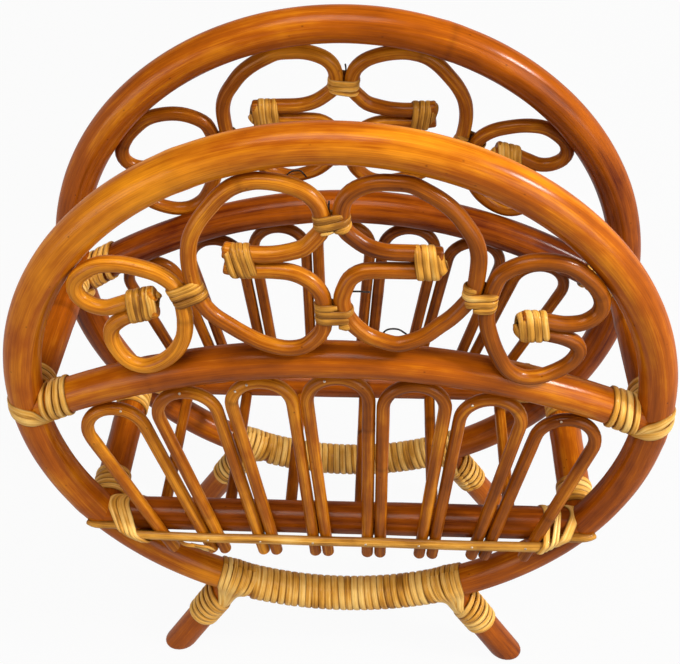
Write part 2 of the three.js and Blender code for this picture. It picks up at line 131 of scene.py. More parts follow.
def smooth(points, step):
    """A smooth line through the points, sampled at even steps"""
    p = np.asarray(points, float)
    p = np.vstack([2 * p[0] - p[1], p, 2 * p[-1] - p[-2]])
    t = np.concatenate([[0.0], np.cumsum(np.linalg.norm(np.diff(p, axis=0), axis=1) ** 0.5)])
    pieces = []
    for i in range(1, len(p) - 2):
        x = np.linspace(t[i], t[i + 1], 14, endpoint=False)[:, None]

        def between(a, b, ta, tb):
            return ((tb - x) * a + (x - ta) * b) / (tb - ta)

        a1 = between(p[i - 1], p[i], t[i - 1], t[i])
        a2 = between(p[i], p[i + 1], t[i], t[i + 1])
        a3 = between(p[i + 1], p[i + 2], t[i + 1], t[i + 2])
        b1 = between(a1, a2, t[i - 1], t[i + 1])
        b2 = between(a2, a3, t[i], t[i + 2])
        pieces.append(between(b1, b2, t[i], t[i + 1]))
    pieces.append(p[-2:-1])
    return evenly(np.vstack(pieces), step)


def straight(a, b, step):
    return evenly(np.array([a, b], float), step)


def tangents(line):
    return unit(np.gradient(line, axis=0))


def frames(line, hint):
    """Tangent, normal and binormal along a line, carried without twist"""
    t = tangents(line)
    n = np.zeros_like(t)
    carried = np.asarray(hint, float)
    for i in range(len(t)):
        carried = carried - np.dot(carried, t[i]) * t[i]
        carried = carried / np.linalg.norm(carried)
        n[i] = carried
    return t, n, np.cross(t, n)


def wave(x, seed, parts=5):
    """A smooth wandering value about zero, the same every run"""
    draw = np.random.default_rng(seed)
    total = np.zeros_like(np.asarray(x, float))
    for k in range(1, parts + 1):
        total += np.sin(x * k * draw.uniform(0.7, 1.3) + draw.uniform(0, TAU)) / k
    return total / 1.6


def placer(turn):
    """What puts a panel's points in the rack. turn is 1 for the front panel, -1 for the back one."""

    def place(points):
        p = np.atleast_2d(np.asarray(points, float))
        return np.stack([turn * p[:, 0], turn * (-HALF - p[:, 1]), CENTRE + p[:, 2]], 1)

    return place


def turned(place, vector):
    """A direction in panel coordinates, in the rack's"""
    return (place(vector) - place((0, 0, 0)))[0]


# Meshes


class Skin:
    """Gathers the faces of one object, with what its material reads from them"""

    def __init__(self):
        self.verts, self.faces, self.fibre, self.tone, self.mark = [], [], [], [], []
        self.count = 0

    def add(self, verts, faces, fibre, tone, mark):
        self.faces += [tuple(i + self.count for i in face) for face in faces]
        self.verts.append(verts)
        self.fibre.append(fibre)
        self.tone.append(np.broadcast_to(tone, len(verts)))
        self.mark.append(np.broadcast_to(mark, len(verts)))
        self.count += len(verts)

    def make(self, name, slot, nodes=(), material=None):
        mesh = bpy.data.meshes.new(name)
        verts = np.vstack(self.verts) * METRE
        mesh.from_pydata(verts.tolist(), [], self.faces)
        fibre = mesh.attributes.new("fibre", "FLOAT_VECTOR", "POINT")
        fibre.data.foreach_set("vector", np.vstack(self.fibre).astype(np.float32).ravel())
        for label, values in (("tone", self.tone), ("mark", self.mark)):
            layer = mesh.attributes.new(label, "FLOAT", "POINT")
            layer.data.foreach_set("value", np.concatenate(values).astype(np.float32))
        mesh.polygons.foreach_set("use_smooth", [True] * len(mesh.polygons))
        mesh.update()
        piece = bpy.data.objects.new(name, mesh)
        bpy.context.scene.collection.objects.link(piece)
        piece.data.materials.append(material or MATERIALS[slot])
        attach(piece, "root")
        if nodes:
            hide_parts(*nodes)
        return piece


def grid_faces(rows, columns):
    faces = []
    for i in range(rows - 1):
        for j in range(columns):
            k = (j + 1) % columns
            faces.append((i * columns + j, i * columns + k, (i + 1) * columns + k, (i + 1) * columns + j))
    return faces


def capped_faces(rows, columns):
    """A tube's faces, with both its ends closed"""
    first = tuple(range(columns))
    last = (rows - 1) * columns
    return grid_faces(rows, columns) + [first[::-1], tuple(last + j for j in first)]


def even_angles(sides):
    return np.arange(sides) * TAU / sides


def rims(n, b, angle):
    """Directions round a line, from its normals and binormals"""
    return n[:, None, :] * np.cos(angle)[None, :, None] + b[:, None, :] * np.sin(angle)[None, :, None]


def to_hoop(y):
    """How far along a direction the hoop's surface lies, from each point"""

    def distance(points, direction):
        low = np.full(len(points), -16.0)
        high = np.full(len(points), 16.0)

        def outside(at):
            q = points + direction * at[:, None]
            ring = np.hypot(q[:, 0], q[:, 2] - CENTRE) - HOOP
            return np.hypot(ring, q[:, 1] - y) - POLE - FIT_GAP

        for _ in range(26):
            middle = (low + high) / 2
            out = outside(middle) > 0
            low = np.where(out, middle, low)
            high = np.where(out, high, middle)
        return low

    return distance


def to_floor(height):
    def distance(points, direction):
        return (height - points[:, 2]) / direction[2]

    return distance


def tone_at(tone, share):
    """One tone, or tones given at even steps, at shares of a piece's length"""
    values = np.atleast_1d(tone)
    return np.interp(share, np.linspace(0, 1, len(values)), values)


def growth_rings(s, r, radius, rings, strength):
    """A pole's radius with its growth rings, and how strongly they mark each place along it"""
    mark = np.zeros(len(s))
    for at in rings:
        away = s - at
        swell = SWELL_SHARE * np.exp(-((away / SWELL_RUN) ** 2))
        r = r + radius * (swell - DIP_SHARE * np.exp(-((away / DIP_RUN) ** 2)))
        mark = np.maximum(mark, strength * np.exp(-((away / MARK_RUN) ** 2)))
    return r, mark


def fit_end(points, from_end, direction, reach, fit):
    """Slides each vertex near a pole's end by its own distance to a surface, less towards the pole"""
    for i in np.nonzero(from_end < reach)[0]:
        own = fit(points[i] + direction * from_end[i], direction)
        weight = 1 - from_end[i] / reach
        points[i] = points[i] + direction * (own[:, None] * weight)


def round_edge(rows, along, marks, far, direction, radius, edge, steep, steps=4):
    """Adds a rounded edge at one end of a pole. steep is how far down one step along it leads."""
    base, start, sign = (rows[-1], along[-1], 1) if far else (rows[0], along[0], -1)
    middle = base.mean(0)
    for k in range(1, steps + 1):
        bend = k / steps * math.pi / 2
        shrink = (radius - edge + edge * math.cos(bend)) / radius
        position = len(rows) if far else 0
        out = direction * edge * math.sin(bend) / steep
        rows.insert(position, middle + (base - middle) * shrink + out)
        along.insert(position, start + sign * edge * math.sin(bend))
        marks.insert(position, 0.0)


def pole(skin, line, radius, sides, tone=0.5, rings=(), seed=0, start=None, end=None, hint=(0, 1, 0),
         uneven=0.01, edge=0.0, ring_strength=1.0):
    """A round pole along a line. start and end say what each end is fitted to."""
    t, n, b = frames(line, hint)
    s = lengths(line)
    r = radius * (1 + uneven * wave(s / 60, seed) + uneven * 0.3 * wave(s / 11, seed + 1))
    r, mark = growth_rings(s, r, radius, rings, ring_strength)
    angle = even_angles(sides)
    lobes = 1 + 0.008 * np.cos(2 * angle[None, :] + wave(s / 90, seed + 2)[:, None] * 2)
    points = line[:, None, :] + rims(n, b, angle) * (r[:, None] * lobes)[:, :, None]
    reach = FIT_REACH_SHARE * radius
    if start:
        fit_end(points, s, -t[0], reach, start)
    if end:
        fit_end(points, s[-1] - s, t[-1], reach, end)
    rows, along, marks = list(points), list(s), list(mark)
    if edge:
        round_edge(rows, along, marks, True, t[-1], radius, edge, abs(t[-1][2]) if end else 1)
        if not start:
            round_edge(rows, along, marks, False, -t[0], radius, edge, 1)
    count = len(rows)
    grid = np.stack(rows)
    along = np.array(along)
    fibre = np.zeros((count, sides, 3))
    fibre[:, :, 0] = along[:, None] + 977 * (seed % 89)
    fibre[:, :, 1] = radius * np.cos(angle)[None, :]
    fibre[:, :, 2] = radius * np.sin(angle)[None, :]
    shade = tone_at(tone, along / along[-1]) + 0.1 * wave(along / 80, seed + 3)
    skin.add(grid.reshape(-1, 3), grid_faces(count, sides), fibre.reshape(-1, 3),
             np.repeat(shade, sides), np.repeat(marks, sides))
    fan = [(sides, j, (j + 1) % sides) for j in range(sides)]
    back_fan = [(middle, k, j) for middle, j, k in fan]
    for row, faces in ((0, back_fan), (count - 1, fan)):
        ring, threads = (np.vstack([rim, rim.mean(0, keepdims=True)]) for rim in (grid[row], fibre[row]))
        skin.add(ring, faces, threads, shade[row], 0.5)


# A strip's section: places across it and heights of its crowned outer face
SECTION = np.array(
    [(-0.5, -0.15), (-0.5, 0.3), (-0.33, 0.86), (0, 1.0), (0.33, 0.86), (0.5, 0.3), (0.5, -0.15)]
)
SECTION_EDGE = np.array([1.0, 1.0, 0.12, 0.0, 0.12, 1.0, 1.0])


def strip(skin, line, outward, width, thick, tone, seed, tuck=True):
    """A split cane laid along a line, its crowned face turned outward"""
    t = tangents(line)
    outward = unit(outward - (outward * t).sum(1, keepdims=True) * t)
    side = np.cross(t, outward)
    s = lengths(line)
    count = len(line)
    width = np.broadcast_to(width, count).astype(float)
    sink = np.zeros(count)
    if tuck:
        near = np.minimum(s, s[-1] - s)
        fade = np.clip(near / TUCK_RUN, 0, 1)
        width = width * (TUCK_WIDTH_SHARE + (1 - TUCK_WIDTH_SHARE) * fade)
        sink = -TUCK_SINK_SHARE * thick * (1 - fade)
    a = SECTION[:, 0][None, :, None] * width[:, None, None]
    h = (SECTION[:, 1] * thick)[None, :, None] + sink[:, None, None]
    points = line[:, None, :] + side[:, None, :] * a + outward[:, None, :] * h
    columns = len(SECTION)
    fibre = np.zeros((count, columns, 3))
    fibre[:, :, 0] = s[:, None] + 613 * (seed % 97)
    fibre[:, :, 1] = SECTION[:, 0][None, :] * width[:, None] + 31 * (seed % 53)
    tone = np.broadcast_to(tone, count) + 0.13 * wave(s / 9, seed)
    skin.add(points.reshape(-1, 3), capped_faces(count, columns), fibre.reshape(-1, 3),
             np.repeat(tone, columns), np.tile(SECTION_EDGE, count))


def lay(skin, place, line, out, width, thick, tone, seed, tuck=True):
    """A strip along a line of a panel"""
    world = place(line)
    strip(skin, world, place(line + out) - world, width, thick, tone, seed, tuck)


def blended(values, before, after, share):
    """Values of one turn passing into those of the next"""
    return values[before] * (1 - share) + values[after] * share


def hull(points):
    """The convex outline of points in a plane, counter-clockwise"""
    order = sorted(map(tuple, points))

    def half(run):
        out = []
        for p in run:
            while len(out) > 1:
                (ax, ay), (bx, by) = out[-2], out[-1]
                if (bx - ax) * (p[1] - ay) - (by - ay) * (p[0] - ax) > 0:
                    break
                out.pop()
            out.append(p)
        return out[:-1]

    return np.array(half(order) + half(order[::-1]))


def disc(across, up, radius, sides=28):
    angle = even_angles(sides)
    return np.stack([across + radius * np.cos(angle), up + radius * np.sin(angle)], 1)


def taut(shapes, step=1.3):
    """What a strip pulled tight round the shapes follows: places and outward directions"""
    outline = hull(np.vstack(shapes))
    loop = evenly(np.vstack([outline, outline[:1]]), step)[:-1]
    for _ in range(2):
        loop = (np.roll(loop, 1, 0) + 2 * loop + np.roll(loop, -1, 0)) / 4
    along = np.roll(loop, -1, 0) - np.roll(loop, 1, 0)
    return loop, unit(np.stack([along[:, 1], -along[:, 0]], 1))


def bind(skin, origin, axes, loop, turns, pitch, width, thick, seed, slant=(0, 0), start=0.0, lift=0.0,
         tone=0.5, closed=0.0):
    """Turns of a strip round a taut loop. axes are the loop's two directions and the run.
    closed is how many of the last turns draw in over the end."""
    places, outs = loop
    draw = np.random.default_rng(seed)
    count = len(places)
    total = int(round(count * turns))
    index = (np.arange(total + 1) + int(start * count)) % count
    share = np.arange(total + 1) / count
    turn = np.clip(share.astype(int), 0, 60)
    tones = tone + draw.uniform(-0.2, 0.2, 64)
    wide = width * draw.uniform(0.9, 1.08, 64)
    blend = np.clip((share - turn) * 6, 0, 1)
    before = np.clip(turn - 1, 0, 63)
    shade = blended(tones, before, turn, blend)
    breadth = blended(wide, before, turn, blend)
    u, v, w = axes
    size = np.abs(places).max(0)
    run = pitch * (share - turns / 2) + 0.3 * wave(share * 5, seed)
    run = run + slant[0] * places[index, 0] / size[0] + slant[1] * places[index, 1] / size[1]
    past = np.clip((share - turns + closed) / closed, 0, 1) if closed else 0 * share
    narrow = 1 - 0.62 * past**1.6
    breadth = breadth * (1 + 0.35 * past)
    lean = (0.9 * past)[:, None]
    out = outs[index, :1] * u + outs[index, 1:] * v
    around = (places[index, :1] * u + places[index, 1:] * v) * narrow[:, None]
    line = origin + around + run[:, None] * w + out * lift
    strip(skin, line, out * (1 - lean * 0.5) + w * lean, breadth, thick, shade, seed)


# The panel's lines


def arch_line(step=4.0):
    x = np.linspace(-ARCH_SPAN, ARCH_SPAN, 160)
    bow = 1 - (x / ARCH_SPAN) ** 2
    return evenly(np.stack([x, ARCH_OUT * bow, ARCH_END + ARCH_UP * bow], 1), step)


def scroll_out(x, z):
    bow = 1 - (x / ARCH_SPAN) ** 2
    return 4.0 + 16.0 * bow * (183.4 - z) / 112.0


def scroll_line(points, side, step=3.0):
    flat = smooth(points, step)
    return np.stack([side * flat[:, 0], scroll_out(flat[:, 0], flat[:, 1]), flat[:, 1]], 1)


# The scrolls' middle lines: distances from the rack's middle and heights above the hoop's centre. The
# points were picked by eye in the photo, put in millimetres by another script, then thinned and rounded.
BIG_LEFT = [
    (59, 137), (48, 135), (33, 135), (23, 137), (15, 140), (10, 145), (6, 150), (5, 156), (6, 162),
    (8, 167), (14, 173), (23, 177), (33, 179), (42, 179), (52, 176), (60, 170), (67, 162), (73, 154),
    (78, 144), (80, 134), (80, 124), (78, 111), (75, 102), (69, 94), (61, 88), (52, 82), (43, 77),
    (34, 74), (26, 73), (17, 75), (11, 80), (6, 87), (5, 94), (5, 101), (6, 109), (10, 116), (16, 121),
    (23, 124), (33, 125), (48, 125), (59, 127),
]
BIG_RIGHT = [
    (59, 136), (45, 137), (28, 138), (19, 141), (12, 146), (7, 151), (5, 157), (6, 167), (10, 173),
    (17, 177), (25, 179), (33, 179), (42, 178), (50, 174), (58, 169), (66, 162), (72, 154), (77, 146),
    (80, 136), (80, 122), (79, 114), (77, 108), (73, 102), (67, 95), (60, 89), (53, 83), (45, 79),
    (37, 77), (29, 79), (20, 83), (14, 88), (9, 94), (6, 101), (5, 108), (7, 115), (10, 121), (16, 125),
    (24, 126), (44, 126), (59, 126),
]
SMALL_LEFT = [
    (103, 106), (115, 101), (124, 97), (132, 94), (140, 95), (147, 100), (149, 106), (147, 113),
    (141, 119), (132, 124), (120, 125), (108, 123), (99, 120), (92, 115), (88, 109), (86, 96), (86, 88),
    (88, 77), (94, 66), (104, 57), (114, 53), (123, 55), (129, 62), (132, 71), (131, 79), (126, 85),
    (118, 90), (109, 93), (103, 95),
]
SMALL_RIGHT = [
    (108, 93), (120, 91), (133, 88), (144, 89), (151, 95), (152, 103), (148, 112), (140, 121), (131, 128),
    (120, 131), (109, 131), (100, 128), (93, 123), (90, 116), (88, 106), (87, 95), (90, 82), (95, 69),
    (102, 57), (111, 51), (120, 50), (130, 53), (139, 59), (143, 67), (141, 73), (134, 78), (126, 81),
    (117, 83), (108, 83),
]


def loop_line(place, step=3.0):
    """A hairpin loop's middle line in panel coordinates"""
    contact = place * LOOP_PITCH + HEAD_SHIFT
    rise = -2 * ARCH_UP * contact / ARCH_SPAN**2
    steep = math.hypot(1, rise)
    bow = 1 - (contact / ARCH_SPAN) ** 2
    r = LOOP_WIDTH / 2
    forward = HEAD_FORWARD * abs(place) / 3
    hang = r + math.sqrt((POLE + LOOP + SEAT) ** 2 - forward**2)
    cx = contact + hang * rise / steep
    cz = ARCH_END + ARCH_UP * bow - hang / steep
    foot = place * FOOT_PITCH + FOOT_SHIFT
    low = RAIL_UP - FOOT_DROP
    bends = []
    for side in (-1, 1):
        fx, fz = foot + side * FOOT_WIDTH / 2, low
        bearing = math.atan2(fz - cz, fx - cx)
        bends.append((fx, bearing + side * math.acos(r / math.hypot(fx - cx, fz - cz))))
    (lx, first), (rx, last) = bends
    angles = np.linspace(first + TAU, last, 30)
    arc = np.stack([cx + r * np.cos(angles), cz + r * np.sin(angles)], 1)
    flat = evenly(np.vstack([[(lx, low)], arc, [(rx, low)]]), step)
    foot_out = POLE + LOOP + SEAT
    head_out = ARCH_OUT * bow + forward
    fall = np.minimum((cz + r - flat[:, 1]) / (cz + r - RAIL_UP), 1)
    out = head_out + (foot_out - head_out) * fall
    return np.stack([flat[:, 0], out, flat[:, 1]], 1)


def strip_high(x):
    """How tall the outer strip is along its length"""
    places = (-178, -160, -138, -105, -50, 150, 166, 178)
    return np.interp(x, places, (4.6, 6.0, 6.8, 7.6, 8.4, STRIP_HIGH, 8.0, 4.8))


def strip_out(x):
    """How far out the outer strip's inner face lies"""
    over_feet = POLE + 2 * LOOP + 2 * SEAT
    over_hoop = POLE + SEAT
    start = FOOT_PITCH * 3 + FOOT_WIDTH / 2 + FOOT_SHIFT + 9.0
    along = np.clip((np.abs(x) - start) / 20.0, 0, 1)
    eased = along * along * (3 - 2 * along)
    past = np.clip(np.abs(x) - RAIL_SPAN, 0, POLE)
    return over_feet + (over_hoop - over_feet) * eased - (POLE - np.sqrt(POLE**2 - past**2)) * 0.6


# Materials


def new_material(name):
    material = bpy.data.materials.new(name)
    shading = Shading(material)
    return material, shading, shading.nodes["Principled BSDF"]


class Shading:
    """The shader nodes of a material or of the world"""

    def __init__(self, owner):
        owner.use_nodes = True
        self.nodes = owner.node_tree.nodes
        self.links = owner.node_tree.links

    def feed(self, socket, value):
        """Sets a socket, or links another node's output to it"""
        if isinstance(value, bpy.types.NodeSocket):
            self.links.new(value, socket)
        else:
            socket.default_value = value

    def node(self, kind, inputs=(), **settings):
        node = self.nodes.new(kind)
        for label, value in settings.items():
            setattr(node, label, value)
        for key, value in dict(inputs).items():
            self.feed(node.inputs[key], value)
        return node

    def maths(self, operation, a, b, clamp=False):
        return self.node("ShaderNodeMath", {0: a, 1: b}, operation=operation, use_clamp=clamp).outputs[0]

    def mix(self, share, a, b):
        return self.node("ShaderNodeMix", {0: share, 6: a, 7: b}, data_type="RGBA").outputs[2]

    def noise(self, vector, scale, **inputs):
        node = self.node("ShaderNodeTexNoise", {"Vector": vector, "Scale": scale, **inputs})
        return node.outputs["Fac"]

    def ramp(self, value, stops):
        node = self.node("ShaderNodeValToRGB", {"Fac": value})
        elements = node.color_ramp.elements
        while len(elements) < len(stops):
            elements.new(0.5)
        for element, (position, colour) in zip(elements, stops):
            element.position = position
            element.color = (*colour, 1)
        return node.outputs["Color"]


def cane_material(name, dark, middle, light, mark_colour, streak, vary, pits=True, darkening=0.72):
    """Cane with long streaks, mottling and marks. streak is the streaks' width in millimetres."""
    material, shading, shader = new_material(name)
    shader.inputs["Coat Weight"].default_value = 0.2
    shader.inputs["Coat Roughness"].default_value = 0.2
    shader.inputs["Coat IOR"].default_value = 1.6
    shader.inputs["IOR"].default_value = 1.45
    shader.inputs["Specular IOR Level"].default_value = 0.03
    maths = shading.maths

    def attribute(label):
        return shading.node("ShaderNodeAttribute", attribute_name=label)

    fibre = attribute("fibre").outputs["Vector"]
    tone, mark = (attribute(label).outputs["Fac"] for label in ("tone", "mark"))

    def stretched(along, across):
        """The place in the cane, in spans of these lengths"""
        scale = (1 / along, 1 / across, 1 / across)
        return shading.node("ShaderNodeMapping", {"Scale": scale, "Vector": fibre}).outputs["Vector"]

    long_streak = shading.noise(stretched(90, streak), 1.0, Detail=5.0, Roughness=0.55)
    fine = shading.noise(stretched(30, streak * 0.16), 1.0, Detail=3.0, Roughness=0.6)
    mottle = shading.noise(stretched(34, 16), 1.0, Detail=3.0, Roughness=0.55)
    grain = maths("ADD", maths("MULTIPLY", long_streak, 0.62), maths("MULTIPLY", fine, 0.38))
    value = maths("ADD", maths("MULTIPLY", grain, 1.5 * vary), maths("MULTIPLY", mottle, 0.8 * vary))
    value = maths("ADD", value, maths("MULTIPLY", tone, 0.8))
    value = maths("SUBTRACT", value, 1.15 * vary - 0.1, True)
    shade = shading.ramp(value, [(0.12, dark), (0.5, middle), (0.9, light)])
    shade = shading.mix(maths("MULTIPLY", mark, darkening, True), shade, (*mark_colour, 1))
    if pits:
        spots = shading.node("ShaderNodeTexVoronoi", {"Scale": 1.0, "Vector": stretched(13, 8)})
        near = maths("MULTIPLY", maths("SUBTRACT", 0.085, spots.outputs["Distance"], True), 14.0, True)
        shade = shading.mix(maths("MULTIPLY", near, 0.7), shade, (*mark_colour, 1))
    shading.feed(shader.inputs["Base Color"], shade)
    dull = maths("ADD", 0.5, maths("MULTIPLY", maths("SUBTRACT", mottle, 0.5), 0.25))
    shading.feed(shader.inputs["Roughness"], dull)
    height = maths("ADD", maths("MULTIPLY", fine, 0.7), maths("MULTIPLY", long_streak, 0.9))
    bump = shading.node("ShaderNodeBump", {"Strength": 0.35, "Distance": 0.0004, "Height": height})
    shading.feed(shader.inputs["Normal"], bump.outputs["Normal"])
    return material


def nail_material(name, low, high):
    material, shading, shader = new_material(name)
    shader.inputs["Metallic"].default_value = 1.0
    shader.inputs["Roughness"].default_value = 0.35
    place = shading.node("ShaderNodeTexCoord").outputs["Object"]
    colour = shading.ramp(shading.noise(place, 900.0), [(0.35, low), (0.7, high)])
    shading.feed(shader.inputs["Base Color"], colour)
    return material


# Each kind of cane: its colours from dark to light and at marks, the streaks' width, how far its colour
# varies, and for split cane no pits and darker edges
CANES = {
    "varnished_pole": ((0.09, 0.011, 0.001), (0.4, 0.09, 0.002), (0.92, 0.34, 0.012),
                       (0.04, 0.008, 0.001), 4.0, 0.6),
    "thin_cane": ((0.07, 0.011, 0.001), (0.34, 0.086, 0.002), (0.86, 0.34, 0.02),
                  (0.04, 0.008, 0.001), 2.2, 0.8),
    "split_cane": ((0.26, 0.095, 0.01), (0.73, 0.34, 0.045), (0.98, 0.64, 0.2),
                   (0.12, 0.035, 0.003), 1.5, 1.3, False, 0.75),
}
MATERIALS = {name: cane_material(name, *looks) for name, looks in CANES.items()}
NAIL = nail_material("nail_steel", (0.28, 0.2, 0.13), (0.75, 0.66, 0.52))
WIRE = nail_material("dark_wire", (0.015, 0.013, 0.012), (0.06, 0.05, 0.045))


# Pieces of a panel


def nail(skin, at, out, radius):
    """A small domed nail head"""
    out = unit(out)
    side = unit(np.cross(out, (0.3, 0.5, 0.8)))
    other = np.cross(out, side)
    sides = 12
    rim = rims(side[None], other[None], even_angles(sides))[0]
    dome = ((1.0, -0.6), (1.0, 0.15), (0.72, 0.5), (0.3, 0.68))
    grid = np.vstack([at + rim * radius * share + out * height for share, height in dome])
    skin.add(grid, capped_faces(len(dome), sides), grid * 0, 0.5, 0.0)


# How pale each hoop is painted at its bottom, right side, top and left side, as painted light and shade:
# the front one is palest at the top, where light falls from above, and the back one is painted darker, as
# shade
HOOP_PAINTED_LIGHT = {"front": (0.55, 0.35, 0.7, 0.55), "back": (0.45, 0.35, 0.45, 0.25)}


def ring_of(place, name, seed):
    skin = Skin()
    angle = np.linspace(SEAT / HOOP, TAU - SEAT / HOOP, 330)
    line = np.stack([HOOP * np.sin(angle), 0 * angle, -HOOP * np.cos(angle)], 1)
    nodes_at = {"front": (300, 712, 1040), "back": (210, 694, 1080)}[name]
    # the hoop's tone carries painted light and shade round it
    tone = (*HOOP_PAINTED_LIGHT[name], HOOP_PAINTED_LIGHT[name][0])
    pole(skin, place(line), POLE, 32, tone, nodes_at, seed, uneven=0.008, ring_strength=0.45)
    skin.make(f"{name}_hoop_pole", "varnished_pole", [f"{name}_hoop"])


def base_winding(place, name, seed):
    skin = Skin()
    draw = np.random.default_rng(seed)
    half_angle = LEG_ANGLE - LEG_CLEARANCE / HOOP
    turns = BASE_TURNS
    per_turn = 34
    share = np.arange(turns * per_turn + 1) / (turns * per_turn)
    angle = share * turns * TAU
    turn = np.minimum((share * turns).astype(int), turns - 1)
    pitch = 2 * half_angle * HOOP / turns
    bow = half_angle * (2 * share - 1)
    shift = draw.uniform(-0.3, 0.3, turns + 1)
    lean = draw.uniform(-0.5, 0.5, turns + 1)
    ease = share * turns - turn
    along = blended(shift, turn, turn + 1, ease) / HOOP
    bow = bow + (along + blended(lean, turn, turn + 1, ease) * np.sin(angle) / HOOP)
    away = np.stack([np.sin(bow), 0 * bow, -np.cos(bow)], 1)
    out = away * np.cos(angle)[:, None]
    out[:, 1] = -np.sin(angle)
    line = away * HOOP + out * (POLE + WRAP_LIFT)
    width = pitch * draw.uniform(0.97, 1.05, turns + 1)
    tones = 0.6 + draw.uniform(-0.16, 0.2, turns + 1)
    step = np.clip(ease * 8, 0, 1)
    before = np.maximum(turn - 1, 0)
    breadth = blended(width, before, turn, step)
    shade = blended(tones, before, turn, step)
    lay(skin, place, line, out, breadth, WRAP_THICK, shade, seed)
    skin.make(f"{name}_base_wrap", "split_cane", [f"{name}_base_winding"])


def bars(place, name, seed):
    """The arched bar and the lower rail, fitted to the hoop at both ends"""
    reach = RAIL_SPAN - POLE
    rail = straight((-reach, 0, RAIL_UP), (reach, 0, RAIL_UP), 4.0)
    # the front arched bar is painted a little paler at its left end, as painted light, and the back one is
    # painted dark, as painted shade
    arch_tone_and_painted_light = {"front": (0.55, 0.4), "back": 0.2}[name]
    arch_ring = {"front": 83, "back": 234}[name]
    hoop = to_hoop(PLANE[name])
    parts = (
        ("arch_pole", "arch_bar", arch_line(), arch_tone_and_painted_light, arch_ring, 0.4),
        ("lower_pole", "lower_rail", rail, 0.3, 140, 1.0),
    )
    for k, (label, node, line, tone, ring, strength) in enumerate(parts):
        skin = Skin()
        pole(skin, place(line), POLE, 28, tone, (ring,), seed + k, hoop, hoop, ring_strength=strength)
        skin.make(f"{name}_{label}", "varnished_pole", [f"{name}_{node}"])


def loops(place, name, seed):
    for i in range(7):
        skin = Skin()
        line = loop_line(i - 3)
        ring = (250, 110, 40, 150, 230, 90, 180)[(i + seed) % 7]
        # the front loops are painted darker from left to right, as painted shade, and the back loops
        # darker than the front ones, as painted shade too
        tone = 0.62 - 0.04 * i if name == "front" else 0.34 + 0.06 * math.sin(i * 2.1 + seed)
        pole(skin, place(line), LOOP, 16, tone, (ring,), seed * 10 + i, uneven=0.03, edge=1.2,
             ring_strength=0.5)
        skin.make(f"{name}_hairpin_{i + 1}", "thin_cane", [f"{name}_loop_{i + 1}"])


def flat_strip(place, name, seed):
    skin = Skin()
    x = np.linspace(-RAIL_SPAN - 9.0, RAIL_SPAN + 9.0, 400)
    rise = np.interp(x, (-178, -160, -138, -116, -92), (0.8, 1.0, 1.8, 1.0, 0))
    line = np.stack([x, strip_out(x), RAIL_UP + rise + 0.5 * wave(x / 60, seed)], 1)
    line = evenly(line, 3.0)
    out = np.cross(tangents(line), (0, 0, 1))
    out = out * np.sign(out[:, 1:2])
    lay(skin, place, line, out, strip_high(line[:, 0]), STRIP_THICK, 0.42, seed, tuck=False)
    skin.make(f"{name}_outer_strip", "split_cane", [f"{name}_strip"])


def scrolls(place, name, seed):
    # each scroll's size in its own name and in its solid's, side, points, side's sign, ring and tones
    parts = (
        # the front scrolls' tones are paler on the left than on the right, as painted light
        ("large", "big", "left", BIG_LEFT, -1, 120, {"front": 0.55, "back": 0.5}),
        ("large", "big", "right", BIG_RIGHT, 1, 290, {"front": 0.4, "back": 0.55}),
        ("little", "small", "left", SMALL_LEFT, -1, 150, {"front": 0.65, "back": 0.45}),
        ("little", "small", "right", SMALL_RIGHT, 1, 60, {"front": 0.3, "back": 0.4}),
    )
    for label, size, end, points, side, ring, tones in parts:
        skin = Skin()
        pole(skin, place(scroll_line(points, side)), SCROLL, 18, tones[name], (ring,), seed + len(points),
             uneven=0.03, edge=1.5, ring_strength=0.4)
        skin.make(f"{name}_{label}_scroll_{end}", "thin_cane", [f"{name}_{size}_scroll_{end}"])


def on_scroll(x, z):
    return np.array([x, scroll_out(abs(x), z), z])


def wrap_pair(skin, place, first, second, along, turns, pitch, width, slant, seed, start=0.0, tone=0.5,
              thick=TIE_THICK, closed=0.0):
    """Turns of split cane round two canes that lie side by side"""
    # across the canes, outward, and the binding's run
    across = unit(turned(place, np.subtract(second, first)))
    run = unit(turned(place, along))
    run = unit(run - np.dot(run, across) * across)
    axes = (across, np.cross(run, across), run)
    middle = place((first + second) / 2)[0]
    half = np.linalg.norm(second - first) / 2
    loop = taut([disc(-half, 0, SCROLL + 0.1), disc(half, 0, SCROLL + 0.1)])
    bind(skin, middle, axes, loop, turns, pitch, width, thick, seed, slant, start, tone=tone,
         closed=closed)


